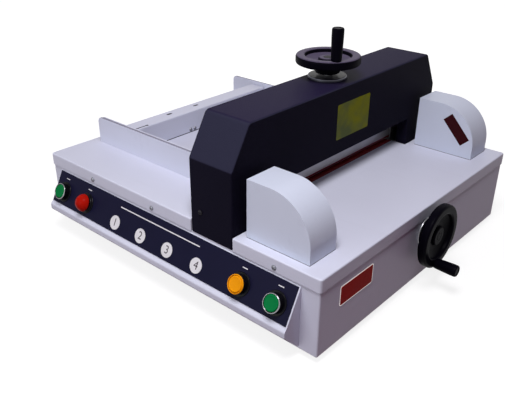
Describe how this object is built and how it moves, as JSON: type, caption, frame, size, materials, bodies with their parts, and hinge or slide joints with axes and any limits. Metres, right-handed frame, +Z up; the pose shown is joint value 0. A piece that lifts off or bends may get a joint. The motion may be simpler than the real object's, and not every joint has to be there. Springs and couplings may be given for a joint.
{
  "type": "electric table paper cutter",
  "caption": "Table-top electric guillotine for paper stacks: hooded knife arch, screw clamp and back gauge on handwheels, light-barrier posts and a sloped push-button console.",
  "frame": {"origin": "on the ground, under the middle of the part's overall box", "axes": "+X to the operator's right (the console is on the -X side), +Y away from the operator, +Z up"},
  "size_m": [0.547, 0.6215, 0.357],
  "materials": {
    "light_coat": "light grey powder coat, satin",
    "post_coat": "light grey moulded cover, satin",
    "black_coat": "black textured powder coat",
    "overlay": "printed film",
    "rubber": "moulded",
    "zinc": "zinc plated",
    "black_screw": "blackened",
    "bright_steel": "turned",
    "tool_steel": "ground",
    "plate_steel": "milled",
    "clamp_cast": "machined and clear coated",
    "cast_alloy": "cast",
    "motor": "black enamel",
    "brass": "turned",
    "bezel": "plated",
    "switch": "moulded",
    "stick": "extruded",
    "window": "tinted",
    "board": "solder resist",
    "wheel_black": "moulded, glossy",
    "green": "moulded",
    "red": "moulded",
    "amber": "moulded"
  },
  "bodies": {
    "frame": {"base_tray": "light_coat", "feet": "rubber", "front_table": "light_coat", "rear_table": "light_coat", "table_screws": "zinc", "console_shell": "light_coat", "console_panel": "overlay", "button_bezels": "bezel", "switch_blocks": "switch", "bed": "plate_steel", "cutting_stick": "stick", "left_column": "plate_steel", "right_column": "plate_steel", "crossbeam": "plate_steel", "arch_cover": "black_coat", "arch_rear_panel": "black_coat", "arch_screws": "black_screw", "clamp_nut": "bright_steel", "left_light_post": "post_coat", "right_light_post": "post_coat", "left_window": "window", "right_window": "window", "emitter_board": "board", "receiver_board": "board", "left_fence": "light_coat", "right_fence": "light_coat", "front_bearing": "bright_steel", "rear_bearing": "plate_steel", "gauge_rails": "bright_steel", "gearbox": "cast_alloy", "drive_motor": "motor", "control_board": "board", "board_standoffs": "zinc", "power_inlet": "switch"},
    "knife": {"knife_beam": "plate_steel", "knife_blade": "tool_steel", "blade_screws": "black_screw", "guide_rollers": "bright_steel", "pull_plate": "plate_steel"},
    "crank": {"crank": "plate_steel", "crank_roller": "bright_steel"},
    "clamp": {"clamp_beam": "clamp_cast", "clamp_keeper": "plate_steel"},
    "clamp_wheel": {"clamp_spindle": "bright_steel", "clamp_handwheel": "wheel_black", "clamp_grip_pin": "zinc"},
    "clamp_grip": {"clamp_grip": "wheel_black"},
    "gauge": {"back_gauge": "light_coat", "gauge_carriage": "cast_alloy", "gauge_nut": "brass", "gauge_screws": "zinc"},
    "gauge_wheel": {"lead_screw": "bright_steel", "gauge_handwheel": "wheel_black", "gauge_grip_pin": "zinc"},
    "gauge_grip": {"gauge_grip": "wheel_black"},
    "rear_green_button": {"rear_green_button": "green"},
    "red_button": {"red_button": "red"},
    "amber_button": {"amber_button": "amber"},
    "front_green_button": {"front_green_button": "green"}
  },
  "joints": [
    {"name": "knife_drop", "type": "slide", "parent": "frame", "child": "knife", "axis": [-0.4167, 0, -0.9091], "range_m": [0, 0.0528]},
    {"name": "crank_turn", "type": "hinge", "parent": "frame", "child": "crank", "pos_m": [0.17517, -0.07875, 0.065], "axis": [0, 1, 0], "range_deg": [0, 90]},
    {"name": "clamp_travel", "type": "slide", "parent": "frame", "child": "clamp", "axis": [0, 0, 1], "range_m": [-0.0023, 0.041]},
    {"name": "clamp_turn", "type": "hinge", "parent": "clamp", "child": "clamp_wheel", "pos_m": [0.01517, -0.06075, 0.297], "axis": [0, 0, 1], "range_deg": [-165.6, 2952]},
    {"name": "clamp_grip_spin", "type": "hinge", "parent": "clamp_wheel", "child": "clamp_grip", "pos_m": [-0.00915, -0.09188, 0.33], "axis": [0, 0, 1], "continuous": true},
    {"name": "gauge_travel", "type": "slide", "parent": "frame", "child": "gauge", "axis": [0, 1, 0], "range_m": [-0.227, 0.04]},
    {"name": "gauge_turn", "type": "hinge", "parent": "frame", "child": "gauge_wheel", "pos_m": [0.01517, -0.26275, 0.085], "axis": [0, 1, 0], "range_deg": [-1440, 8172]},
    {"name": "gauge_grip_spin", "type": "hinge", "parent": "gauge_wheel", "child": "gauge_grip", "pos_m": [0.00561, -0.29075, 0.04667], "axis": [0, 1, 0], "continuous": true},
    {"name": "rear_green_press", "type": "slide", "parent": "frame", "child": "rear_green_button", "axis": [0.8872, 0, -0.4614], "range_m": [0, 0.003], "stiffness_N_per_m": 400, "springref_m": -0.003},
    {"name": "red_press", "type": "slide", "parent": "frame", "child": "red_button", "axis": [0.8872, 0, -0.4614], "range_m": [0, 0.003], "stiffness_N_per_m": 400, "springref_m": -0.003},
    {"name": "amber_press", "type": "slide", "parent": "frame", "child": "amber_button", "axis": [0.8872, 0, -0.4614], "range_m": [0, 0.003], "stiffness_N_per_m": 400, "springref_m": -0.003},
    {"name": "front_green_press", "type": "slide", "parent": "frame", "child": "front_green_button", "axis": [0.8872, 0, -0.4614], "range_m": [0, 0.003], "stiffness_N_per_m": 400, "springref_m": -0.003}
  ],
  "couplings": [
    {"joint": "crank_turn", "follows": "knife_drop", "rad_per_m": 29.747},
    {"joint": "clamp_turn", "follows": "clamp_travel", "rad_per_m": 1256.6},
    {"joint": "gauge_turn", "follows": "gauge_travel", "rad_per_m": -628.32}
  ]
}
